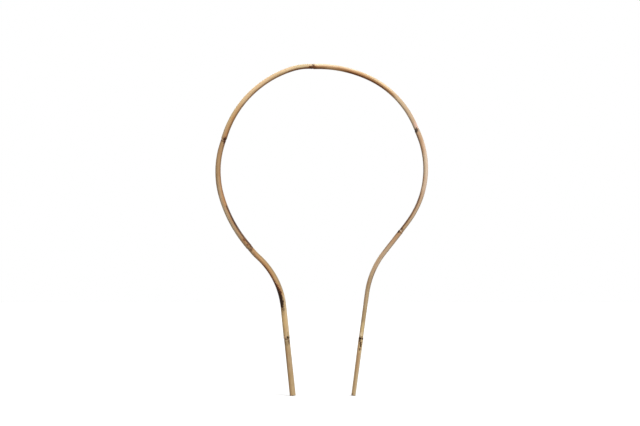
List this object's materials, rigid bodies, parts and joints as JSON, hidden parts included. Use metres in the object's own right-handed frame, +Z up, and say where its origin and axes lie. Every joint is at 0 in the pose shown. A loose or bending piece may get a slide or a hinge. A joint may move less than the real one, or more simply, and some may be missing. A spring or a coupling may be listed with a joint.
{
  "type": "bamboo plant support hoop",
  "caption": "Bamboo cane bent into a keyhole hoop on two legs, pushed into soil to hold up a climbing plant.",
  "frame": {"origin": "ground level under the middle of the hoop's width, in the plane of the hoop", "axes": "+Z up from the feet to the top of the hoop, +X to the right seen from the front, front towards -Y"},
  "size_m": [0.3916, 0.012, 0.6111],
  "materials": {
    "cane_bark": "dried bamboo bark, satin, honey-tan with paler and scorched patches",
    "cane_knuckle": "dried bamboo knuckle, matt, darker brown in the ring"
  },
  "bodies": {
    "root": {"left_foot": "cane_bark", "left_leg_node": "cane_knuckle", "left_shoulder": "cane_bark", "left_lower_node": "cane_knuckle", "left_lower_hoop": "cane_bark", "left_upper_node": "cane_knuckle", "left_upper_hoop": "cane_bark", "top_node": "cane_knuckle", "right_upper_hoop": "cane_bark", "right_upper_node": "cane_knuckle", "right_lower_hoop": "cane_bark", "right_lower_node": "cane_knuckle", "right_shoulder": "cane_bark", "right_leg_node": "cane_knuckle", "right_foot": "cane_bark"}
  },
  "joints": []
}
